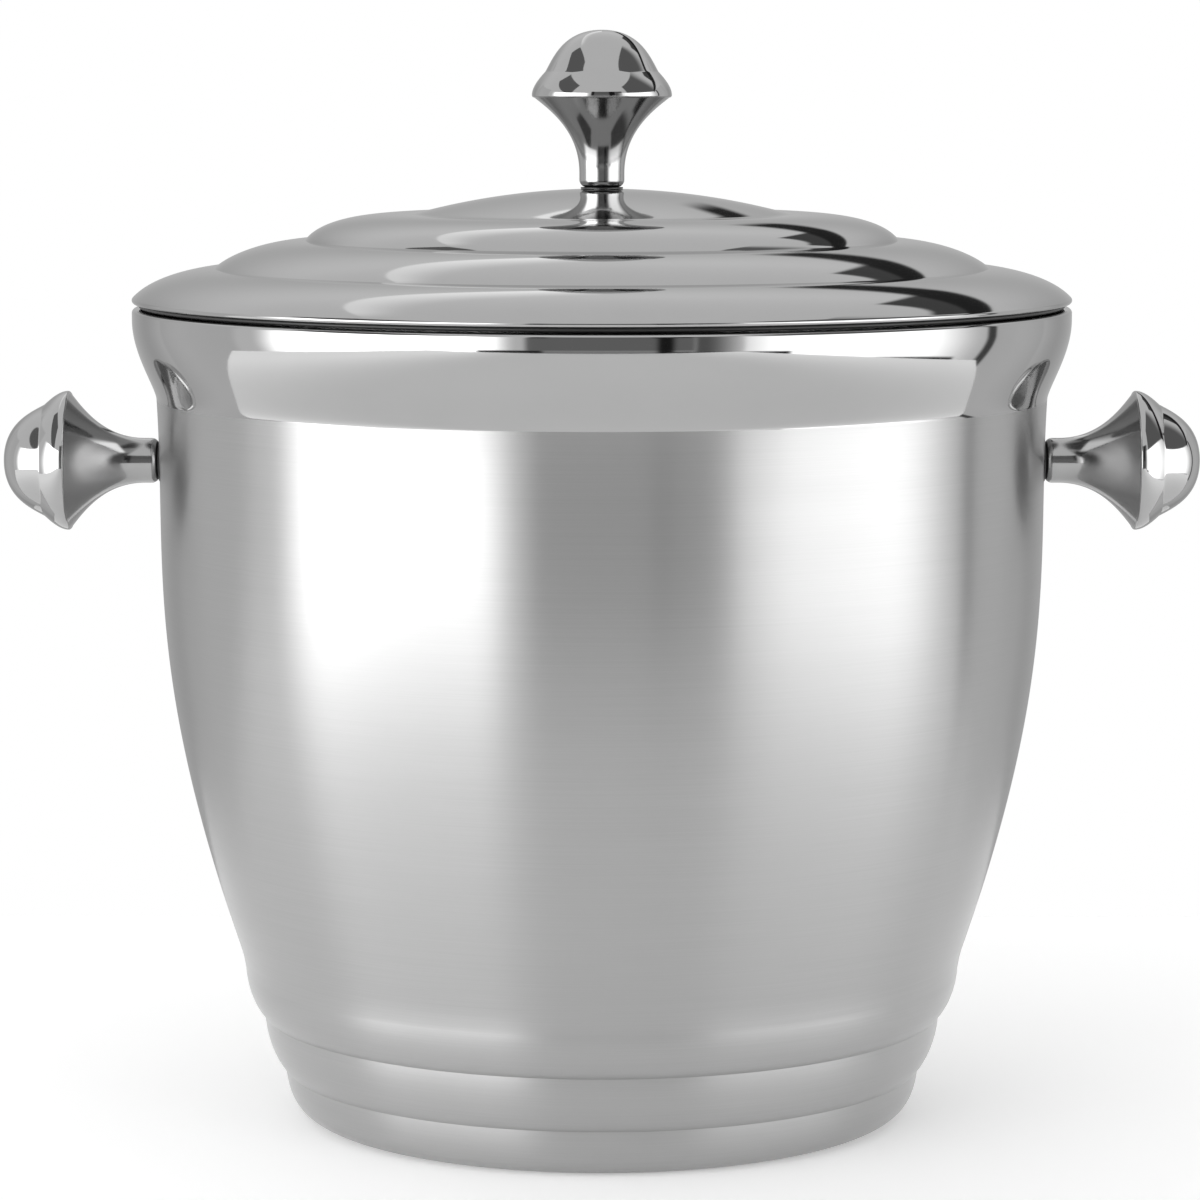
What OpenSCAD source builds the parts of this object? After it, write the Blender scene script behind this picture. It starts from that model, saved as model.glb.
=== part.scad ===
// Double-walled steel ice bucket: stepped foot, round belly, flared collar,
// two side knobs and a stepped lid with a knob.
// Z is up, the base stands on z = 0, and the side knobs lie along X.

/* [Bucket] */
// Radius of the rim at its widest
rim_radius = 100; // [99:0.1:101]
// Height of the rim's top above the table
rim_height = 174.2; // [173:0.1:176]
// Radius of the shell where the collar starts
collar_radius = 95; // [94.5:0.1:95.5]
// Height at which the collar starts
collar_height = 155; // [153:0.5:157]
// Outer radius of the flat ring that the bucket stands on
foot_radius = 60; // [58:0.5:61]
// Thickness of every steel sheet
sheet = 0.7; // [0.5:0.05:0.75]
// Radius of the liner's mouth
mouth_radius = 94.2; // [94:0.1:94.5]
// Height of the liner's floor, on the ice side
floor_height = 24; // [23:0.5:26]

/* [Lid] */
// Height of the top of the lid's dome
lid_apex = 199.3; // [198.8:0.1:200]
// Radius of the dome's sphere
dome_radius = 153.6; // [145:0.2:165]
// Outer radius of the skirt that drops into the mouth
skirt_radius = 92.9; // [92:0.1:93.5]
// Height of the underside of the lid's pan
pan_height = 167; // [165:0.5:168]
// Air between the seal and the rim below it
seat_gap = 0.3; // [0.25:0.05:0.5]

/* [Knobs] */
// Length of a knob from its seat to its tip
knob_length = 33.3; // [32.5:0.1:34]
// Largest radius of a knob, at the cap's lower edge
knob_radius = 14.9; // [14.7:0.1:15.2]
// Radius of a knob's stem at its thinnest
stem_radius = 4.8; // [4.7:0.1:5.2]
// Height of the side knobs' axis above the table
side_knob_height = 141.2; // [138:0.2:144]
// Radius of the dark washer under each knob
seal_radius = 4.5; // [4:0.1:4.8]
// Thickness of the dark washer under each knob
knob_seal = 0.3; // [0.3:0.1:0.8]

/* [Fasteners] */
// Nominal radius of the knob screws
screw_radius = 2.5; // [2:0.5:2.5]
// Radius of the low screw head
head_radius = 4.5; // [4:0.1:4.8]
// Height of the low screw head
head_height = 2.4; // [2:0.1:2.6]
// Radius of the flat washer
washer_radius = 6; // [5.5:0.1:6.5]
// Thickness of the flat washer
washer_thickness = 1; // [0.8:0.1:1.1]
// Thickness of the split spring washer
lock_thickness = 1.1; // [0.9:0.1:1.2]

/* [Hidden] */
$fn = 96;

steel_colour = "silver";
polished_colour = "gainsboro";
seal_colour = "dimgray";
foam_colour = "ivory";

// Air left round the foam, round a screw's shank and between pressed sheets
foam_gap = 0.3;
screw_clearance = 0.3;
press_gap = 0.1;

// ---- Curves in the (radius, height) half plane ----

function bezier_point(p, t) =
    pow(1 - t, 3) * p[0] + 3 * t * pow(1 - t, 2) * p[1]
    + 3 * t * t * (1 - t) * p[2] + pow(t, 3) * p[3];

// Points along a cubic Bezier curve, leaving out its first one
function bezier(p, steps) = [for (i = [1:steps]) bezier_point(p, i / steps)];

function arc(centre, radius, from, to, steps = 6) =
    [for (i = [0:steps]) let (a = from + (to - from) * i / steps)
        centre + radius * [cos(a), sin(a)]];

function after_first(path) = [for (i = [1:len(path) - 1]) path[i]];
function backwards(path) = [for (i = [len(path) - 1:-1:0]) path[i]];
function unit(v) = v / norm(v);
function left_of(v) = [-v[1], v[0]];

// The path moved sideways, to its left when distance is positive, with mitred corners
function moved(path, distance) =
    let (last = len(path) - 1)
    [for (i = [0:last])
        let (before = left_of(unit(path[max(i, 1)] - path[max(i, 1) - 1])),
             after = left_of(unit(path[min(i, last - 1) + 1] - path[min(i, last - 1)])))
        path[i] + distance * (before + after) / (1 + before * after)];

// The closed outline of a sheet that lies on the left of a path
function sheet_outline(path, thickness) = concat(path, backwards(moved(path, thickness)));

function between(path, low, high) = [for (p = path) if (p[1] >= low && p[1] <= high) p];

// ---- Outer shell ----

lip_round = 0.8;
lip_inner_radius = 96.8;
foot_lip_radius = 54.6;
foot_lip_height = 5;
foot_bend = 1.4;
step_1 = [68.7, 10.3];
step_2 = [73.1, 22.2];
step_3 = [77.1, 32];
belly_start = [78.2, 37];
collar_start = [collar_radius, collar_height];

foot_bulge = [[foot_radius, 0], [foot_radius + 5.5, 0], [68.2, 3.4], step_1];
middle_bulge = [step_1, [70.6, 12], [72.9, 16.5], step_2];
upper_bulge = [step_2, [75.3, 24], [76.9, 28], step_3];
waist = [step_3, [77.35, 33.8], [77.7, 35.4], belly_start];
belly = [belly_start, [98.5, 97.7], [93.15, 120.75], collar_start];
flare_end = [rim_radius, rim_height - 2.7];
flare = [collar_start, [95.1, 157.6], [99.9, 164.5], flare_end];

wall_curve = concat(
    bezier(foot_bulge, 8), bezier(middle_bulge, 7), bezier(upper_bulge, 7),
    bezier(waist, 3), bezier(belly, 18), bezier(flare, 12));

shell_path = concat(
    [[foot_lip_radius, foot_lip_height]],
    arc([foot_lip_radius + foot_bend, foot_bend], foot_bend, 180, 270),
    [[foot_radius, 0]],
    wall_curve,
    arc([rim_radius - lip_round, rim_height - lip_round], lip_round, 0, 90),
    [[lip_inner_radius, rim_height]]);

// Radius of the shell's outside at a height. The side knobs sit clear of the wall under their rims.
function wall_radius(height) = lookup(height, [for (p = wall_curve) [p[1], p[0]]]);
side_seat = wall_radius(side_knob_height + seal_radius);

module at_left() {
    translate([-side_seat, 0, side_knob_height]) rotate([0, -90, 0]) children();
}

module at_right() {
    translate([side_seat, 0, side_knob_height]) rotate([0, 90, 0]) children();
}

module at_lid() {
    translate([0, 0, lid_apex]) children();
}

module screw_hole() {
    hole_length = 16;
    cylinder(h = hole_length, r = screw_radius + screw_clearance, center = true);
}

module outer_shell() {
    color(steel_colour)
    difference() {
        rotate_extrude() polygon(sheet_outline(shell_path, sheet));
        at_left() screw_hole();
        at_right() screw_hole();
    }
}

// ---- Liner ----

flange_top = rim_height - sheet;
flange_radius = 98.6;
mouth_bend = 2.2;
floor_flat = 54;
liner_corner = [71.2, 38];
shoulder = [86, 148];
mouth_start = [mouth_radius, 165];

liner_path = concat(
    [[0, floor_height], [floor_flat, floor_height]],
    bezier([[floor_flat, floor_height], [64, floor_height], [69.5, 30], liner_corner], 10),
    bezier([liner_corner, [82, 75], [85.3, 105], shoulder], 14),
    bezier([shoulder, [86.3, 156], [mouth_radius, 156.5], mouth_start], 10),
    arc([mouth_radius + mouth_bend, flange_top - mouth_bend], mouth_bend, 180, 90),
    [[flange_radius, flange_top]]);

module inner_liner() {
    color(polished_colour) rotate_extrude() polygon(sheet_outline(liner_path, -sheet));
}

// ---- Base cover ----

cover_underside = 2.2;
cover_bend = 0.9;
cover_flange_radius = 57;
cover_bead_radius = 34;
cover_bead_height = 1.2;
cover_bead_slope = 3;
cover_radius = foot_lip_radius - press_gap;

cover_path = concat(
    [[0, cover_underside + cover_bead_height], [cover_bead_radius, cover_underside + cover_bead_height],
     [cover_bead_radius + cover_bead_slope, cover_underside]],
    arc([cover_radius - cover_bend, cover_underside + cover_bend], cover_bend, -90, 0),
    [[cover_radius, foot_lip_height], [cover_flange_radius, foot_lip_height]]);

module base_cover() {
    color(steel_colour) rotate_extrude() polygon(sheet_outline(cover_path, sheet));
}

// ---- Foam in the walls ----

sleeve_bottom = 27;
sleeve_top = 150;
pocket_radius = 9;
slot_depth = 20;
slot_height = 40;
slot_inset = 4;
disc_bottom = 6.4;
disc_radius = 64;
disc_chamfer = 3;

sleeve_outside = between(moved(shell_path, sheet + foam_gap), sleeve_bottom, sleeve_top);
sleeve_inside = between(moved(liner_path, -sheet - foam_gap), sleeve_bottom, sleeve_top);

// A slot open at the top, so that the sleeve slides down past a fitted screw
module screw_slot() {
    rotate([0, 90, 0]) cylinder(h = slot_depth, r = pocket_radius, center = true);
    translate([-slot_depth / 2, -pocket_radius, 0]) cube([slot_depth, 2 * pocket_radius, slot_height]);
}

module wall_insulation() {
    color(foam_colour)
    difference() {
        rotate_extrude() polygon(concat(sleeve_outside, backwards(sleeve_inside)));
        for (side = [-1, 1])
            translate([side * (side_seat - slot_inset), 0, side_knob_height]) screw_slot();
    }
}

module base_insulation() {
    color(foam_colour)
    rotate_extrude()
        polygon([
            [0, disc_bottom], [disc_radius - disc_chamfer, disc_bottom],
            [disc_radius, disc_bottom + disc_chamfer], [disc_radius, floor_height - sheet - foam_gap],
            [0, floor_height - sheet - foam_gap]]);
}

// ---- Lid ----

hem_bottom = rim_height + 1.2;
hem_inner_radius = 96.6;
nose_round = 0.65;
nose_angle = 48;
hem_rise = 1.3;
nose = [rim_radius - nose_round, hem_bottom + nose_round];
crown_start = nose + nose_round * [cos(nose_angle), sin(nose_angle)];
crease_1 = [82.4, 182.7];
crease_2 = [63.2, 188.5];
crease_3 = [40, 194];
dome_centre = [0, lid_apex - dome_radius];
dome_edge_angle = acos(crease_3[0] / dome_radius);

step_curves = [
    [crown_start, [96.9, 179.6], [90.8, 182], crease_1],
    [crease_1, [79.9, 185], [73, 188.2], crease_2],
    [crease_2, [61.2, 191.3], [55, 194.4], crease_3]
];

dome_curve = after_first(arc(dome_centre, dome_radius, dome_edge_angle, 90, 10));
crown_path = concat([crown_start], [for (curve = step_curves) each bezier(curve, 10)], dome_curve);

crown_inside = [for (p = moved(crown_path, sheet)) [max(p[0], 0), p[1]]];

lid_outline = concat(
    [[hem_inner_radius, hem_bottom]],
    arc(nose, nose_round, -90, nose_angle),
    after_first(crown_path),
    [for (p = backwards(crown_inside)) if (p[0] < hem_inner_radius) p],
    [[hem_inner_radius, crown_start[1] + hem_rise]]);

module lid_shell() {
    color(polished_colour)
    difference() {
        rotate_extrude() polygon(lid_outline);
        at_lid() screw_hole();
    }
}

skirt_bend = 1.1;
pan_corner = 3.2;
pan_dish_radius = 60;
pan_dish_depth = 2.5;
pan_dish_slope = 6;
seal_inner_radius = skirt_radius + skirt_bend + press_gap;
seal_outer_radius = 98.6;

pan_path = concat(
    [[hem_inner_radius - press_gap, hem_bottom]],
    arc([skirt_radius + skirt_bend, hem_bottom - skirt_bend], skirt_bend, 90, 180),
    arc([skirt_radius - pan_corner, pan_height + pan_corner], pan_corner, 0, -90),
    [[pan_dish_radius + pan_dish_slope, pan_height], [pan_dish_radius, pan_height + pan_dish_depth],
     [0, pan_height + pan_dish_depth]]);

module lid_liner() {
    color(steel_colour) rotate_extrude() polygon(sheet_outline(pan_path, -sheet));
}

module lid_gasket() {
    seal_bottom = rim_height + seat_gap;
    seal_round = (hem_bottom - seal_bottom) / 2;
    color(seal_colour)
    rotate_extrude()
        polygon(concat(
            [[seal_inner_radius, hem_bottom], [seal_inner_radius, seal_bottom]],
            arc([seal_outer_radius - seal_round, seal_bottom + seal_round], seal_round, -90, 90)));
}

lid_foam_bottom = pan_height + pan_dish_depth + sheet + foam_gap;
lid_foam_radius = skirt_radius - sheet - foam_gap;
lid_foam_chamfer = 2;
crown_gap = 0.5;
lid_foam_top = [for (p = moved(crown_path, sheet + crown_gap))
    if (p[0] > pocket_radius && p[0] < lid_foam_radius) p];
pocket_depth = 9;

module lid_insulation() {
    pocket_floor = lid_apex - pocket_depth;
    color(foam_colour)
    rotate_extrude()
        polygon(concat(
            [[0, lid_foam_bottom], [lid_foam_radius - lid_foam_chamfer, lid_foam_bottom],
             [lid_foam_radius, lid_foam_bottom + lid_foam_chamfer], [lid_foam_radius, lid_foam_top[0][1]]],
            lid_foam_top,
            [[pocket_radius, pocket_floor], [0, pocket_floor]]));
}

// ---- Knobs, drawn with their seat at the origin and their axis along +Z ----

base_round = 1.6;
seam_height = 19;
neck_start = [stem_radius, 3];
stem_rim = [knob_radius - 0.5, seam_height];
cap_edge_round = 0.5;
cap_edge_end = [knob_radius, seam_height + cap_edge_round];
cap_crease = [12, knob_length - 8.8];
spigot_radius = 4;
spigot_length = 5;
spigot_play = 0.05;
spigot_gap = 0.2;
screw_depth = 12;
washer_play = 0.45;

stem_outline = concat(
    arc([stem_radius - base_round, base_round], base_round, -90, 0),
    [neck_start],
    bezier([neck_start, [stem_radius, 11.5], [10.45, 15.95], stem_rim], 12));

cap_outline = concat(
    arc([knob_radius - cap_edge_round, cap_edge_end[1]], cap_edge_round, -90, 0, 4),
    bezier([cap_edge_end, [knob_radius, 21.2], [13.4, 23], cap_crease], 8),
    bezier([cap_crease, [10.3, knob_length - 5.7], [8, knob_length], [0, knob_length]], 12));

module knob_stem() {
    socket_floor = seam_height - spigot_length - spigot_gap;
    color(steel_colour)
    translate([0, 0, knob_seal])
    difference() {
        rotate_extrude() polygon(concat([[0, 0]], stem_outline, [[0, seam_height]]));
        translate([0, 0, -1]) cylinder(h = screw_depth + 1, r = screw_radius);
        translate([0, 0, socket_floor]) cylinder(h = seam_height, r = spigot_radius + spigot_play);
    }
}

module knob_cap() {
    color(polished_colour)
    translate([0, 0, knob_seal])
    rotate_extrude()
        polygon(concat(
            [[0, seam_height - spigot_length], [spigot_radius, seam_height - spigot_length],
             [spigot_radius, seam_height]],
            cap_outline));
}

module knob_gasket() {
    color(seal_colour)
    difference() {
        cylinder(h = knob_seal, r = seal_radius);
        screw_hole();
    }
}

washer_top = -sheet - washer_play;
lock_top = washer_top - washer_thickness;
head_top = lock_top - lock_thickness;

module backing_washer() {
    color(steel_colour)
    difference() {
        translate([0, 0, lock_top]) cylinder(h = washer_thickness, r = washer_radius);
        screw_hole();
    }
}

module lock_washer() {
    lock_radius = head_radius - 0.3;
    slit_width = 0.8;
    color(steel_colour)
    difference() {
        translate([0, 0, head_top]) cylinder(h = lock_thickness, r = lock_radius);
        screw_hole();
        translate([0, -slit_width / 2, head_top - 1]) cube([washer_radius, slit_width, lock_thickness + 2]);
    }
}

module knob_screw() {
    shank_radius = screw_radius - 0.05;
    shank_end = knob_seal + screw_depth - 1;
    recess_width = 1;
    recess_length = 4.6;
    recess_depth = 1.2;
    color(steel_colour)
    difference() {
        union() {
            translate([0, 0, head_top - head_height]) cylinder(h = head_height, r = head_radius);
            translate([0, 0, head_top]) cylinder(h = shank_end - head_top, r = shank_radius);
        }
        for (turn = [0, 90])
            translate([0, 0, head_top - head_height])
                rotate([0, 0, turn]) cube([recess_width, recess_length, 2 * recess_depth], center = true);
    }
}

// ---- The nodes ----

outer_shell();
inner_liner();
base_cover();
wall_insulation();
base_insulation();

at_left() knob_cap();  // left_knob_cap
at_left() knob_stem();  // left_knob_stem
at_left() knob_gasket();  // left_knob_gasket
at_left() backing_washer();  // left_backing_washer
at_left() lock_washer();  // left_lock_washer
at_left() knob_screw();  // left_knob_screw

at_right() knob_cap();  // right_knob_cap
at_right() knob_stem();  // right_knob_stem
at_right() knob_gasket();  // right_knob_gasket
at_right() backing_washer();  // right_backing_washer
at_right() lock_washer();  // right_lock_washer
at_right() knob_screw();  // right_knob_screw

lid_shell();
lid_liner();
lid_insulation();
lid_gasket();
at_lid() knob_cap();  // lid_knob_cap
at_lid() knob_stem();  // lid_knob_stem
at_lid() knob_gasket();  // lid_knob_gasket
at_lid() backing_washer();  // lid_backing_washer
at_lid() lock_washer();  // lid_lock_washer
at_lid() knob_screw();  // lid_knob_screw
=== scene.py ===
"""Looks of the ice bucket: smooth spun-steel surfaces and their finishes, built round the CAD frame."""

import math

import bpy
from mathutils import Matrix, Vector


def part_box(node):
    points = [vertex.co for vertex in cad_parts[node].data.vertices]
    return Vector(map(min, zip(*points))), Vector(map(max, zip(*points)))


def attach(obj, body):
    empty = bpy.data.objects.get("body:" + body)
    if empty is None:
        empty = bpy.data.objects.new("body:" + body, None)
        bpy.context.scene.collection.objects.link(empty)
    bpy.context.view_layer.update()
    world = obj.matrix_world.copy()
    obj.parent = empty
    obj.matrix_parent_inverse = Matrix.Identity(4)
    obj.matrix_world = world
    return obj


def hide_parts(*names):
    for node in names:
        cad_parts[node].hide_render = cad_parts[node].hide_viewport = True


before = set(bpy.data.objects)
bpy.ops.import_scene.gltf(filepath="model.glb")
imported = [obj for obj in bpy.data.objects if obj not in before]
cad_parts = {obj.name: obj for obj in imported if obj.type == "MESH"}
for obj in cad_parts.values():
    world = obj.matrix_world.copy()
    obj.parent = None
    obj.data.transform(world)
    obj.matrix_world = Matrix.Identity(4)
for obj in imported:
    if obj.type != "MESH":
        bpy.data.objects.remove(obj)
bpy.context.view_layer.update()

MM = 0.001
SHEET = 0.7
PRESS_GAP = 0.1
TURN_STEPS = 256
SHARP_ANGLE = math.radians(24)

# ---- Sizes read from the frame, in millimetres ----


def low_mm(node):
    return [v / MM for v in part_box(node)[0]]


def high_mm(node):
    return [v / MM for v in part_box(node)[1]]


rim_radius = high_mm("outer_shell")[0]
rim_height = high_mm("outer_shell")[2]
floor_height = low_mm("inner_liner")[2] + SHEET
flange_radius = high_mm("inner_liner")[0]
lid_apex = high_mm("lid_shell")[2]
hem_bottom = low_mm("lid_shell")[2]
pan_height = low_mm("lid_liner")[2]
seal_bottom = low_mm("lid_gasket")[2]
seal_outer_radius = high_mm("lid_gasket")[0]
knob_radius = high_mm("lid_knob_cap")[0]
knob_seal = low_mm("lid_knob_stem")[2] - lid_apex
side_knob_height = (low_mm("right_knob_cap")[2] + high_mm("right_knob_cap")[2]) / 2
knob_length = high_mm("lid_knob_cap")[2] - lid_apex - knob_seal
side_seat = high_mm("right_knob_cap")[0] - knob_length - knob_seal

# ---- Outlines in the (radius, height) half plane, with the curves of the CAD part ----


def bezier(points, steps):
    """Points along a cubic Bezier curve, leaving out its first one."""
    curve = []
    for i in range(1, steps + 1):
        t = i / steps
        weights = ((1 - t) ** 3, 3 * t * (1 - t) ** 2, 3 * t * t * (1 - t), t**3)
        curve.append(tuple(sum(w * p[k] for w, p in zip(weights, points)) for k in (0, 1)))
    return curve


def arc(centre, radius, start, end, steps=8):
    angles = (math.radians(start + (end - start) * i / steps) for i in range(steps + 1))
    return [(centre[0] + radius * math.cos(a), centre[1] + radius * math.sin(a)) for a in angles]


def straight(start, end, steps):
    """Points along a straight line, leaving out its first one."""
    return [
        tuple(start[k] + (end[k] - start[k]) * i / steps for k in (0, 1)) for i in range(1, steps + 1)
    ]


def moved(path, distance):
    """The path moved sideways, to its left when distance is positive, with mitred corners."""
    normals = []
    for (r0, z0), (r1, z1) in zip(path, path[1:]):
        length = math.hypot(r1 - r0, z1 - z0)
        normals.append((-(z1 - z0) / length, (r1 - r0) / length))
    result = []
    for i, (r, z) in enumerate(path):
        before = normals[max(i - 1, 0)]
        after = normals[min(i, len(normals) - 1)]
        stretch = distance / (1 + before[0] * after[0] + before[1] * after[1])
        result.append((max(r + stretch * (before[0] + after[0]), 0), z + stretch * (before[1] + after[1])))
    return result


def sheet_outline(path, thickness):
    return path + moved(path, thickness)[::-1]


# Outer shell
LIP_ROUND = 0.8
LIP_INNER_RADIUS = 96.8
FOOT_RADIUS = 60
FOOT_LIP_RADIUS = 54.6
FOOT_LIP_HEIGHT = 5
FOOT_BEND = 1.4
STEP_1 = (68.7, 10.3)
STEP_2 = (73.1, 22.2)
STEP_3 = (77.1, 32)
BELLY_START = (78.2, 37)
COLLAR_START = (95, 155)
FLARE_END = (rim_radius, rim_height - 2.7)

foot_bulge = [(FOOT_RADIUS, 0), (FOOT_RADIUS + 5.5, 0), (68.2, 3.4), STEP_1]
middle_bulge = [STEP_1, (70.6, 12), (72.9, 16.5), STEP_2]
upper_bulge = [STEP_2, (75.3, 24), (76.9, 28), STEP_3]
waist = [STEP_3, (77.35, 33.8), (77.7, 35.4), BELLY_START]
belly = [BELLY_START, (98.5, 97.7), (93.15, 120.75), COLLAR_START]
flare = [COLLAR_START, (95.1, 157.6), (99.9, 164.5), FLARE_END]

shell_path = (
    [(FOOT_LIP_RADIUS, FOOT_LIP_HEIGHT)]
    + arc((FOOT_LIP_RADIUS + FOOT_BEND, FOOT_BEND), FOOT_BEND, 180, 270)
    + [(FOOT_RADIUS, 0)]
    + bezier(foot_bulge, 24)
    + bezier(middle_bulge, 24)
    + bezier(upper_bulge, 24)
    + bezier(waist, 10)
    + bezier(belly, 90)
    + bezier(flare, 40)
    + arc((rim_radius - LIP_ROUND, rim_height - LIP_ROUND), LIP_ROUND, 0, 90, 10)
    + [(LIP_INNER_RADIUS, rim_height)]
)

# Liner
FLANGE_TOP = rim_height - SHEET
MOUTH_RADIUS = 94.2
MOUTH_BEND = 2.2
FLOOR_FLAT = 54
LINER_CORNER = (71.2, 38)
SHOULDER = (86, 148)
MOUTH_START = (MOUTH_RADIUS, 165)

liner_path = (
    [(0, floor_height)]
    + straight((0, floor_height), (FLOOR_FLAT, floor_height), 12)
    + bezier([(FLOOR_FLAT, floor_height), (64, floor_height), (69.5, 30), LINER_CORNER], 24)
    + bezier([LINER_CORNER, (82, 75), (85.3, 105), SHOULDER], 50)
    + bezier([SHOULDER, (86.3, 156), (MOUTH_RADIUS, 156.5), MOUTH_START], 30)
    + arc((MOUTH_RADIUS + MOUTH_BEND, FLANGE_TOP - MOUTH_BEND), MOUTH_BEND, 180, 90)
    + [(flange_radius, FLANGE_TOP)]
)

# Base cover
COVER_UNDERSIDE = 2.2
COVER_BEND = 0.9
COVER_BEAD_RADIUS = 34
COVER_BEAD_HEIGHT = 1.2
bead_top = COVER_UNDERSIDE + COVER_BEAD_HEIGHT
cover_radius = FOOT_LIP_RADIUS - PRESS_GAP

cover_path = (
    [(0, bead_top)]
    + straight((0, bead_top), (COVER_BEAD_RADIUS - 1, bead_top), 8)
    + bezier(
        [
            (COVER_BEAD_RADIUS - 1, bead_top),
            (COVER_BEAD_RADIUS + 1.2, bead_top),
            (COVER_BEAD_RADIUS + 1.8, COVER_UNDERSIDE),
            (COVER_BEAD_RADIUS + 4, COVER_UNDERSIDE),
        ],
        12,
    )
    + arc((cover_radius - COVER_BEND, COVER_UNDERSIDE + COVER_BEND), COVER_BEND, -90, 0)
    + [(cover_radius, FOOT_LIP_HEIGHT), (high_mm("base_cover")[0], FOOT_LIP_HEIGHT)]
)

# Lid
HEM_INNER_RADIUS = 96.6
NOSE_ROUND = 0.65
NOSE_ANGLE = 48
# The nose arc stops this many degrees before the crown begins
NOSE_LAST_STEP = 8
HEM_RISE = 1.3
CREASES = ((82.4, 182.7), (63.2, 188.5), (40, 194))
DOME_RADIUS = 153.6
nose = (rim_radius - NOSE_ROUND, hem_bottom + NOSE_ROUND)
crown_start = (
    nose[0] + NOSE_ROUND * math.cos(math.radians(NOSE_ANGLE)),
    nose[1] + NOSE_ROUND * math.sin(math.radians(NOSE_ANGLE)),
)
dome_edge = math.degrees(math.acos(CREASES[2][0] / DOME_RADIUS))
dome_curve = arc((0, lid_apex - DOME_RADIUS), DOME_RADIUS, dome_edge, 90, 40)[1:]

crown_path = (
    [crown_start]
    + bezier([crown_start, (96.9, 179.6), (90.8, 182), CREASES[0]], 36)
    + bezier([CREASES[0], (79.9, 185), (73, 188.2), CREASES[1]], 36)
    + bezier([CREASES[1], (61.2, 191.3), (55, 194.4), CREASES[2]], 36)
    + dome_curve
)
crown_inside = [(r, z) for r, z in moved(crown_path, SHEET)[::-1] if r < HEM_INNER_RADIUS]
lid_outline = (
    [(HEM_INNER_RADIUS, hem_bottom)]
    + arc(nose, NOSE_ROUND, -90, NOSE_ANGLE - NOSE_LAST_STEP, 12)
    + crown_path
    + crown_inside
    + [(HEM_INNER_RADIUS, crown_start[1] + HEM_RISE)]
)

# The pan under the lid
SKIRT_RADIUS = 92.9
SKIRT_BEND = 1.1
PAN_CORNER = 3.2
PAN_DISH_RADIUS = 60
PAN_DISH_DEPTH = 2.5

pan_path = (
    [(HEM_INNER_RADIUS - PRESS_GAP, hem_bottom)]
    + arc((SKIRT_RADIUS + SKIRT_BEND, hem_bottom - SKIRT_BEND), SKIRT_BEND, 90, 180)
    + arc((SKIRT_RADIUS - PAN_CORNER, pan_height + PAN_CORNER), PAN_CORNER, 0, -90)
    + bezier(
        [
            (PAN_DISH_RADIUS + 7, pan_height),
            (PAN_DISH_RADIUS + 4, pan_height),
            (PAN_DISH_RADIUS + 2, pan_height + PAN_DISH_DEPTH),
            (PAN_DISH_RADIUS - 1, pan_height + PAN_DISH_DEPTH),
        ],
        14,
    )
    + straight((PAN_DISH_RADIUS - 1, pan_height + PAN_DISH_DEPTH), (0, pan_height + PAN_DISH_DEPTH), 14)
)

seal_round = (hem_bottom - seal_bottom) / 2
seal_inner_radius = SKIRT_RADIUS + SKIRT_BEND + PRESS_GAP
seal_outline = [(seal_inner_radius, hem_bottom), (seal_inner_radius, seal_bottom)] + arc(
    (seal_outer_radius - seal_round, seal_bottom + seal_round), seal_round, -90, 90, 14
)

# Knobs, with their seat at the origin and their axis along +Z
STEM_RADIUS = 4.8
BASE_ROUND = 1.6
NECK_START = (STEM_RADIUS, 3)
SEAM_HEIGHT = 19
STEM_RIM = (knob_radius - 0.5, SEAM_HEIGHT)
CAP_EDGE_ROUND = 0.5
CAP_EDGE_END = (knob_radius, SEAM_HEIGHT + CAP_EDGE_ROUND)
CAP_CREASE = (12, knob_length - 8.8)
SPIGOT_RADIUS = 4
SPIGOT_LENGTH = 5
SPIGOT_PLAY = 0.05
SPIGOT_END = SEAM_HEIGHT - SPIGOT_LENGTH
SOCKET_FLOOR = SPIGOT_END - 0.2
BORE_RADIUS = 2.5
BORE_DEPTH = 12

stem_outline = (
    [(BORE_RADIUS, 0)]
    + arc((STEM_RADIUS - BASE_ROUND, BASE_ROUND), BASE_ROUND, -90, 0, 12)
    + [NECK_START]
    + bezier([NECK_START, (STEM_RADIUS, 11.5), (10.45, 15.95), STEM_RIM], 48)
    + [
        (SPIGOT_RADIUS + SPIGOT_PLAY, SEAM_HEIGHT),
        (SPIGOT_RADIUS + SPIGOT_PLAY, SOCKET_FLOOR),
        (0, SOCKET_FLOOR),
        (0, BORE_DEPTH),
        (BORE_RADIUS, BORE_DEPTH),
    ]
)
cap_outline = (
    [(0, SPIGOT_END), (SPIGOT_RADIUS, SPIGOT_END), (SPIGOT_RADIUS, SEAM_HEIGHT)]
    + arc((knob_radius - CAP_EDGE_ROUND, CAP_EDGE_END[1]), CAP_EDGE_ROUND, -90, 0, 10)
    + bezier([CAP_EDGE_END, (knob_radius, 21.2), (13.4, 23), CAP_CREASE], 30)
    + bezier([CAP_CREASE, (10.3, knob_length - 5.7), (8, knob_length), (0, knob_length)], 50)
)

# ---- Meshes ----


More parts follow.
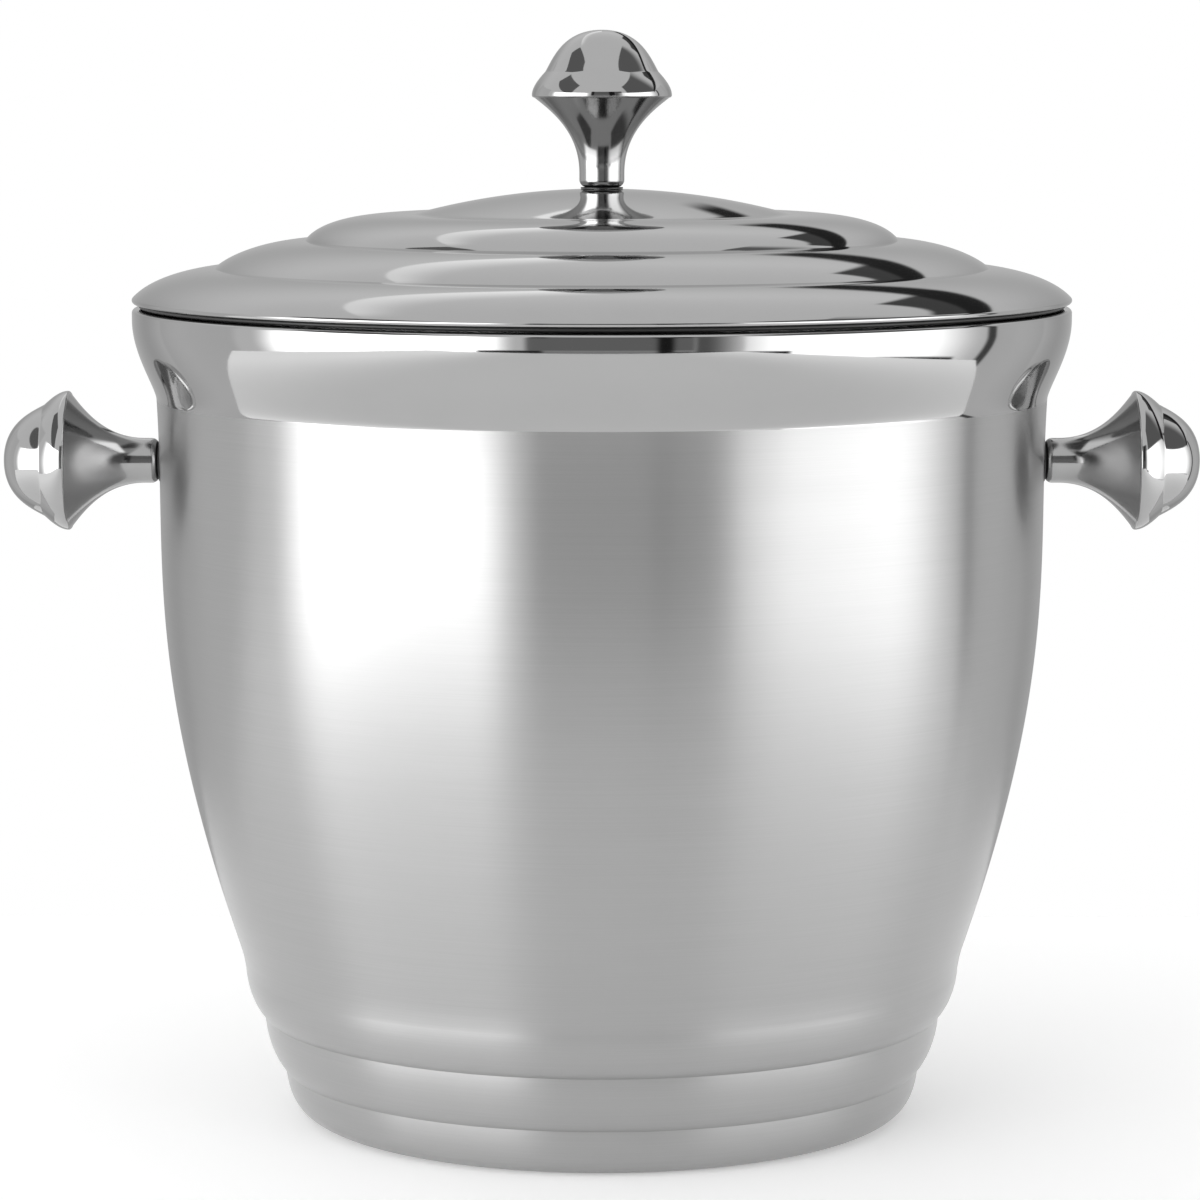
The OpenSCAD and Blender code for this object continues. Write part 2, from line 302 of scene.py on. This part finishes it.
def spin(name, outline, material_of=None, place=None, steps=TURN_STEPS):
    """A closed solid made by turning a closed outline, in millimetres, about its own Z axis."""
    verts = []
    rings = []
    for radius, height in outline:
        if radius < 1e-6:
            rings.append([len(verts)])
            verts.append((0, 0, height * MM))
            continue
        rings.append(list(range(len(verts), len(verts) + steps)))
        for i in range(steps):
            angle = 2 * math.pi * i / steps
            verts.append((radius * math.cos(angle) * MM, radius * math.sin(angle) * MM, height * MM))
    faces = []
    owners = []
    for index, lower in enumerate(rings):
        upper = rings[(index + 1) % len(rings)]
        if len(lower) == 1 and len(upper) == 1:
            continue
        for i in range(steps):
            j = (i + 1) % steps
            if len(lower) == 1:
                faces.append((lower[0], upper[j], upper[i]))
            elif len(upper) == 1:
                faces.append((lower[i], lower[j], upper[0]))
            else:
                faces.append((lower[i], lower[j], upper[j], upper[i]))
            owners.append(index)
    mesh = bpy.data.meshes.new(name)
    mesh.from_pydata(verts, [], faces)
    if material_of:
        for polygon, owner in zip(mesh.polygons, owners):
            polygon.material_index = material_of(outline[owner], outline[(owner + 1) % len(outline)])
    if place is not None:
        mesh.transform(place)
    mesh.validate()
    mesh.update()
    for polygon in mesh.polygons:
        polygon.use_smooth = True
    mesh.set_sharp_from_angle(angle=SHARP_ANGLE)
    piece = bpy.data.objects.new(name, mesh)
    bpy.context.scene.collection.objects.link(piece)
    return piece


# ---- Materials ----

# Grey levels of the steel
POLISHED = 0.4
BRUSHED = 0.42
SMOOTH = {"interpolation_type": "SMOOTHSTEP"}


class Graph:
    """A node material with one Principled shader."""

    def __init__(self, name):
        self.material = bpy.data.materials.new(name)
        self.material.use_nodes = True
        self.nodes = self.material.node_tree.nodes
        self.links = self.material.node_tree.links
        self.shader = self.nodes["Principled BSDF"]

    def add(self, kind, settings=None, **inputs):
        node = self.nodes.new(kind)
        for key, value in (settings or {}).items():
            setattr(node, key, value)
        for key, value in inputs.items():
            socket = node.inputs[key.replace("_", " ")]
            if isinstance(value, bpy.types.NodeSocket):
                self.links.new(value, socket)
            else:
                socket.default_value = value
        return node

    def stretched(self, scale):
        """Object coordinates scaled by a vector, so that a noise in them is stretched."""
        place = self.add("ShaderNodeTexCoord").outputs["Object"]
        return self.add("ShaderNodeMapping", {"vector_type": "POINT"}, Vector=place, Scale=scale).outputs[0]

    def noise(self, vector, detail=2.0, roughness=0.5):
        return self.add(
            "ShaderNodeTexNoise", Vector=vector, Scale=1.0, Detail=detail, Roughness=roughness
        ).outputs["Fac"]

    def between(self, value, low, high):
        """The value from 0 to 1 mapped onto low to high."""
        return self.add("ShaderNodeMapRange", Value=value, To_Min=low, To_Max=high).outputs[0]

    def grey(self, value, low, high):
        """A grey colour that runs from low to high with the value."""
        mix = self.add("ShaderNodeMix", {"data_type": "RGBA"})
        self.links.new(value, mix.inputs[0])
        mix.inputs[6].default_value = (low, low, low, 1)
        mix.inputs[7].default_value = (high, high, high, 1)
        return mix.outputs[2]

    def bump(self, height, strength, distance):
        return self.add(
            "ShaderNodeBump", Height=height, Strength=strength, Distance=distance
        ).outputs["Normal"]

    def connect(self, **sockets):
        for key, value in sockets.items():
            self.links.new(value, self.shader.inputs[key.replace("_", " ")])


def brushed_steel(name, roughness=(0.27, 0.31), anisotropy=0.95):
    """Satin steel with fine grain running round the Z axis, which smears reflections up and down."""
    graph = Graph(name)
    fine = graph.noise(graph.stretched((25, 25, 5200)), 3.0, 0.6)
    broad = graph.noise(graph.stretched((9, 9, 160)), 2.0)
    graph.connect(
        Base_Color=graph.grey(fine, BRUSHED * 0.93, BRUSHED * 1.07),
        Roughness=graph.between(broad, *roughness),
        Normal=graph.bump(fine, 0.12, 0.00004),
        Tangent=graph.add("ShaderNodeTangent", {"direction_type": "RADIAL", "axis": "Z"}).outputs[0],
    )
    graph.shader.inputs["Metallic"].default_value = 1.0
    graph.shader.inputs["Anisotropic"].default_value = anisotropy
    graph.shader.inputs["Anisotropic Rotation"].default_value = 0.25
    return graph.material


def polished_steel(name):
    """Buffed steel with the faint waviness and haze of hand polishing."""
    graph = Graph(name)
    haze = graph.noise(graph.stretched((60, 60, 90)), 4.0, 0.6)
    wave = graph.noise(graph.stretched((22, 22, 22)), 1.0)
    graph.connect(
        Base_Color=graph.grey(haze, POLISHED * 0.97, POLISHED * 1.03),
        Roughness=graph.between(haze, 0.035, 0.07),
        Normal=graph.bump(wave, 0.05, 0.0003),
    )
    graph.shader.inputs["Metallic"].default_value = 1.0
    return graph.material


def cast_steel(name):
    """Semi-polished casting: soft reflections, slightly cloudy."""
    graph = Graph(name)
    haze = graph.noise(graph.stretched((120, 120, 120)), 3.0)
    graph.connect(
        Base_Color=graph.grey(haze, POLISHED * 0.85, POLISHED),
        Roughness=graph.between(haze, 0.1, 0.16),
        Normal=graph.bump(haze, 0.02, 0.0001),
    )
    graph.shader.inputs["Metallic"].default_value = 1.0
    return graph.material


def black_rubber(name):
    graph = Graph(name)
    grit = graph.noise(graph.stretched((1500, 1500, 1500)), 3.0)
    graph.connect(
        Base_Color=graph.grey(grit, 0.008, 0.02),
        Roughness=graph.between(grit, 0.35, 0.5),
        Normal=graph.bump(grit, 0.15, 0.00005),
    )
    return graph.material


def foam(name):
    """Moulded bead foam: rounded cells with fine seams between them."""
    graph = Graph(name)
    cells = graph.add(
        "ShaderNodeTexVoronoi",
        {"feature": "DISTANCE_TO_EDGE"},
        Vector=graph.stretched((350, 350, 350)),
        Scale=1.0,
    ).outputs["Distance"]
    graph.connect(
        Base_Color=graph.grey(cells, 0.72, 0.88),
        Roughness=graph.between(cells, 0.95, 0.75),
        Normal=graph.bump(cells, 0.5, 0.0004),
    )
    return graph.material


def plated_steel(name):
    graph = Graph(name)
    haze = graph.noise(graph.stretched((400, 400, 400)), 3.0)
    graph.connect(
        Base_Color=graph.grey(haze, 0.42, 0.52),
        Roughness=graph.between(haze, 0.22, 0.34),
        Normal=graph.bump(haze, 0.1, 0.00005),
    )
    graph.shader.inputs["Metallic"].default_value = 1.0
    return graph.material


brushed = brushed_steel("brushed_belly")
polished = polished_steel("mirror_polish")
satin = brushed_steel("satin_liner", roughness=(0.2, 0.28), anisotropy=0.7)
stem_metal = cast_steel("cast_stem")
rubber = black_rubber("black_seal")
bead_foam = foam("bead_foam")
plating = plated_steel("plated_fastener")


def finish_piece(piece, body, slot, materials, *nodes):
    for material in materials:
        piece.data.materials.append(material)
    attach(piece, body)
    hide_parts(*nodes)


# ---- The bucket's and the lid's walls ----

POLISH, SATIN = 0, 1


def shell_finish(start, end):
    """The collar and the lip are polished; everything below the collar is brushed."""
    return POLISH if min(start[1], end[1]) >= COLLAR_START[1] - 0.01 else SATIN


shell = spin("shell_wall", sheet_outline(shell_path, SHEET), shell_finish)
finish_piece(shell, "bucket", "brushed_shell", [polished, brushed], "outer_shell")

liner = spin("liner_wall", sheet_outline(liner_path, -SHEET))
finish_piece(liner, "bucket", "satin_liner", [satin], "inner_liner")

cover = spin("base_plate", sheet_outline(cover_path, SHEET))
finish_piece(cover, "bucket", "satin_liner", [satin], "base_cover")

crown = spin("lid_crown", lid_outline)
finish_piece(crown, "lid", "polished_steel", [polished], "lid_shell")

pan = spin("lid_pan", sheet_outline(pan_path, -SHEET))
finish_piece(pan, "lid", "satin_liner", [satin], "lid_liner")

seal = spin("lid_seal", seal_outline)
finish_piece(seal, "lid", "black_seal", [rubber], "lid_gasket")

# ---- Knobs ----


def knob_place(side):
    """Where a knob's seat and axis lie: on the lid, or on the bucket's left or right side."""
    if side == "lid":
        return Matrix.Translation((0, 0, (lid_apex + knob_seal) * MM))
    sign = -1 if side == "left" else 1
    seat = sign * (side_seat + knob_seal) * MM
    return Matrix.Translation((seat, 0, side_knob_height * MM)) @ Matrix.Rotation(sign * math.pi / 2, 4, "Y")


for side in ("left", "right", "lid"):
    body = "lid" if side == "lid" else "bucket"
    stem = spin(f"{side}_stem", stem_outline, place=knob_place(side), steps=96)
    finish_piece(stem, body, "cast_stem", [stem_metal], f"{side}_knob_stem")
    cap = spin(f"{side}_cap", cap_outline, place=knob_place(side), steps=128)
    finish_piece(cap, body, "polished_steel", [polished], f"{side}_knob_cap")

# ---- Finishes of the CAD nodes that stay ----


def dress(material, *nodes):
    for name in nodes:
        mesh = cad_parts[name].data
        mesh.materials.clear()
        mesh.materials.append(material)


dress(bead_foam, "wall_insulation", "base_insulation", "lid_insulation")
for side in ("left", "right", "lid"):
    dress(rubber, f"{side}_knob_gasket")
    dress(plating, f"{side}_backing_washer", f"{side}_lock_washer", f"{side}_knob_screw")

# ---- Floor, light and camera ----

# Brightness of the studio's parts, where plain tent cloth is 1
TENT = 1.0
SIDE_CLOTH = 0.84
BACK_CLOTH = 0.5
LEFT_BOX = 5.2
RIGHT_BOX = 3.3
PANEL_RIM = 1.45
GAP = 0.2
DIM_GAP = 0.1
DARK = 0.03
SLIT = 0.02


def make_table():
    """A white table top, wide in front of the bucket and narrow behind it, as the collar shows it."""
    left, right = -0.72, 0.52
    front, shoulder, back = -0.86, 0.07, 0.22
    side = 0.22
    corners = [
        (left, front, 0),
        (right, front, 0),
        (right, shoulder, 0),
        (side, shoulder, 0),
        (side, back, 0),
        (-side, back, 0),
        (-side, shoulder, 0),
        (left, shoulder, 0),
    ]
    mesh = bpy.data.meshes.new("table")
    mesh.from_pydata(corners, [], [tuple(range(len(corners)))])
    table = bpy.data.objects.new("table", mesh)
    bpy.context.scene.collection.objects.link(table)
    graph = Graph("white_table")
    graph.shader.inputs["Base Color"].default_value = (0.92, 0.92, 0.92, 1)
    graph.shader.inputs["Roughness"].default_value = 1.0
    graph.shader.inputs["Specular IOR Level"].default_value = 0.0
    graph.shader.inputs["Emission Color"].default_value = (1, 1, 1, 1)
    # Painted light: its emission rises towards its left and right ends, a pool of the soft boxes' light
    # painted onto the table near them
    place = graph.add("ShaderNodeSeparateXYZ", Vector=graph.stretched((1, 1, 1)))
    apart = graph.add("ShaderNodeMath", {"operation": "ABSOLUTE"})
    graph.links.new(place.outputs["X"], apart.inputs[0])
    painted_box_light = graph.add(
        "ShaderNodeMapRange",
        SMOOTH,
        Value=apart.outputs[0],
        From_Min=0.2,
        From_Max=0.55,
        To_Min=0.27,
        To_Max=0.8,
    )
    # The painted pool of box light drives the table's emission
    graph.links.new(painted_box_light.outputs[0], graph.shader.inputs["Emission Strength"])
    mesh.materials.append(graph.material)


class Studio:
    """A white tent round the bucket, painted on the world by direction and seen only by reflection."""

    def __init__(self, brightness):
        world = bpy.data.worlds.new("studio")
        bpy.context.scene.world = world
        world.use_nodes = True
        self.nodes, self.links = world.node_tree.nodes, world.node_tree.links
        self.direction = self.node(
            "ShaderNodeSeparateXYZ", None, self.node("ShaderNodeTexCoord").outputs["Generated"]
        ).outputs
        across, depth, height = self.direction
        self.azimuth = self.maths("ARCTAN2", across, self.maths("MULTIPLY", depth, -1.0))
        self.elevation = self.maths("ARCSINE", height)
        self.brightness = brightness

    def node(self, kind, settings=None, *inputs):
        node = self.nodes.new(kind)
        for key, value in (settings or {}).items():
            setattr(node, key, value)
        for socket, value in zip(node.inputs, inputs):
            self.feed(socket, value)
        return node

    def feed(self, socket, value):
        if isinstance(value, bpy.types.NodeSocket):
            self.links.new(value, socket)
        else:
            socket.default_value = value

    def maths(self, operation, *inputs):
        return self.node("ShaderNodeMath", {"operation": operation}, *inputs).outputs[0]

    def inside(self, value, low, high, low_soft, high_soft):
        """1 where the value lies between low and high, fading to 0 over twice the softness at each end."""
        rise = self.node("ShaderNodeMapRange", SMOOTH, value, low - low_soft, low + low_soft)
        fall = self.node("ShaderNodeMapRange", SMOOTH, value, high - high_soft, high + high_soft)
        return self.maths("MULTIPLY", rise.outputs[0], self.maths("SUBTRACT", 1.0, fall.outputs[0]))

    def paint(self, brightness, *masks):
        """Mix in a brightness where all the masks are 1."""
        mask = masks[0]
        for other in masks[1:]:
            mask = self.maths("MULTIPLY", mask, other)
        mix = self.node("ShaderNodeMix", {"data_type": "FLOAT"}, mask)
        self.feed(mix.inputs[2], self.brightness)
        self.feed(mix.inputs[3], brightness)
        self.brightness = mix.outputs[0]

    def patch(self, azimuths, elevations, soft=(1, 1), fade=1):
        """A mask between two azimuths from the front, rightwards, and two elevations, in degrees.

        soft is how far its left and its right edges fade, and fade how far its top edge does, in degrees.
        """
        across = self.inside(self.azimuth, *map(math.radians, azimuths + soft))
        upward = self.inside(self.elevation, *map(math.radians, elevations + (1, fade)))
        return self.maths("MULTIPLY", across, upward)

    def window(self, azimuths, elevations, brightness, soft=(1, 1), fade=1):
        self.paint(brightness, self.patch(azimuths, elevations, soft, fade))

    def positive(self, value, soft=0.02):
        """A mask that is 1 where the value is above 0, fading to 0 within the softness below it."""
        return self.node("ShaderNodeMapRange", SMOOTH, value, -soft, 0.0).outputs[0]

    def slope(self, *weights):
        """The weighted sum of the direction's X, Y and Z: 0 along a straight seam of the tent."""
        total = 0.0
        for part, weight in zip(self.direction, weights):
            total = self.maths("MULTIPLY_ADD", part, weight, total)
        return total

    def arch(self, size):
        """Above 0 on the front side of the curved seam at the tent's back right."""
        across, depth, height = self.direction
        reach = self.maths("MULTIPLY", height, self.slope(0.35 * size, 0, 0.75 * size))
        behind = self.maths("MAXIMUM", depth, 0.0)
        return self.maths("SUBTRACT", reach, self.maths("MULTIPLY", across, behind))

    def finish(self):
        """Show the tent to every ray but the camera's, which sees plain white."""
        tent = self.nodes["Background"]
        self.feed(tent.inputs["Color"], self.brightness)
        white = self.node("ShaderNodeBackground", None, (1, 1, 1, 1))
        seen = self.node("ShaderNodeLightPath").outputs["Is Camera Ray"]
        mix = self.node("ShaderNodeMixShader", None, seen, tent.outputs[0], white.outputs[0])
        self.links.new(mix.outputs[0], self.nodes["World Output"].inputs["Surface"])


def paint_front(studio):
    """Dark slots and two soft boxes in front."""
    lowest, top = -25, 28
    opening = (-18, 22)
    studio.window(opening, (lowest, -9), 0.4)
    studio.window(opening, (-9, 8), 0.25)
    studio.window(opening, (8, top), GAP)
    studio.window((-17, -13), (4, top), SLIT)
    studio.window((12, 22), (4, top), SLIT)
    studio.window((13, 17), (lowest, 4), SLIT)
    studio.window((22, 34), (lowest, top), 0.17)
    studio.window((-84, -26), (lowest, 19), LEFT_BOX, soft=(9, 6))
    studio.window((37, 92), (lowest, 19), RIGHT_BOX, soft=(13, 14))
    studio.window((106, 110), (lowest, 22), DIM_GAP)
    # Thin gaps between the boxes and the table
    studio.window((-30, -14), (-12, -8.5), DARK)
    studio.window((17, 46), (lowest, -10.8), DARK)
    studio.window((70, 97), (lowest, -18.6), DARK)


def paint_cloth(studio):
    """Dimmer cloth at the sides and the back."""
    studio.window((-135, -99), (-90, 25), SIDE_CLOTH, soft=(1, 2))
    studio.window((110, 135), (-90, 25), SIDE_CLOTH)
    studio.window((-210, -135), (-90, 24), BACK_CLOTH, soft=(1, 15), fade=16)
    studio.window((135, 210), (-90, 24), BACK_CLOTH, soft=(15, 1), fade=16)


def paint_overhead(studio):
    """Gaps round the panel overhead, and the panel's bright left rim."""
    above = (19, 80)
    left_seam = studio.positive(studio.slope(0.845, -1, 1.103))
    left_of_panel = studio.positive(studio.slope(-1, 0, -0.6))
    studio.paint(GAP, studio.patch((-110, -52), above), left_seam, left_of_panel)
    right_of_panel = studio.positive(studio.slope(1, 0.06, -0.56))
    before_arch = studio.positive(studio.arch(1))
    behind_inner_arch = studio.positive(studio.maths("MULTIPLY", studio.arch(0.76), -1.0))
    studio.paint(GAP, studio.patch((43, 110), above, soft=(1, 12)), right_of_panel, before_arch)
    # Corner gap behind the panel, which the lid's ridges show at their right ends
    right_corner = studio.positive(studio.slope(1, 0, -0.44))
    studio.paint(DIM_GAP, studio.patch((125, 170), (24, 45)), before_arch, right_corner)
    studio.paint(DARK, studio.patch((100, 176), (12, 80)), before_arch, behind_inner_arch)
    rim = studio.slope(1, -0.264, 0.608)
    fading = studio.node("ShaderNodeMapRange", SMOOTH, rim, 0.0, 0.14, 1.0, 0.0).outputs[0]
    overhead = studio.positive(studio.slope(0, 1, -0.5), 0.3)
    rim_stretch = studio.patch((-200, -90), (14, 90))
    studio.paint(PANEL_RIM, studio.positive(rim, 0.01), fading, overhead, rim_stretch)


def make_studio():
    studio = Studio(TENT)
    paint_front(studio)
    paint_cloth(studio)
    paint_overhead(studio)
    studio.finish()


def make_camera():
    distance, height, sideways = 0.973, 0.2265, -0.0004
    pitch = 6.77
    data = bpy.data.cameras.new("camera")
    data.sensor_width = 36
    data.lens = 136.44
    camera = bpy.data.objects.new("camera", data)
    bpy.context.scene.collection.objects.link(camera)
    camera.location = (sideways, -distance, height)
    camera.rotation_euler = (math.radians(90 - pitch), 0, 0)
    bpy.context.scene.camera = camera


make_table()
make_studio()
make_camera()
bpy.context.scene.view_settings.view_transform = "Standard"
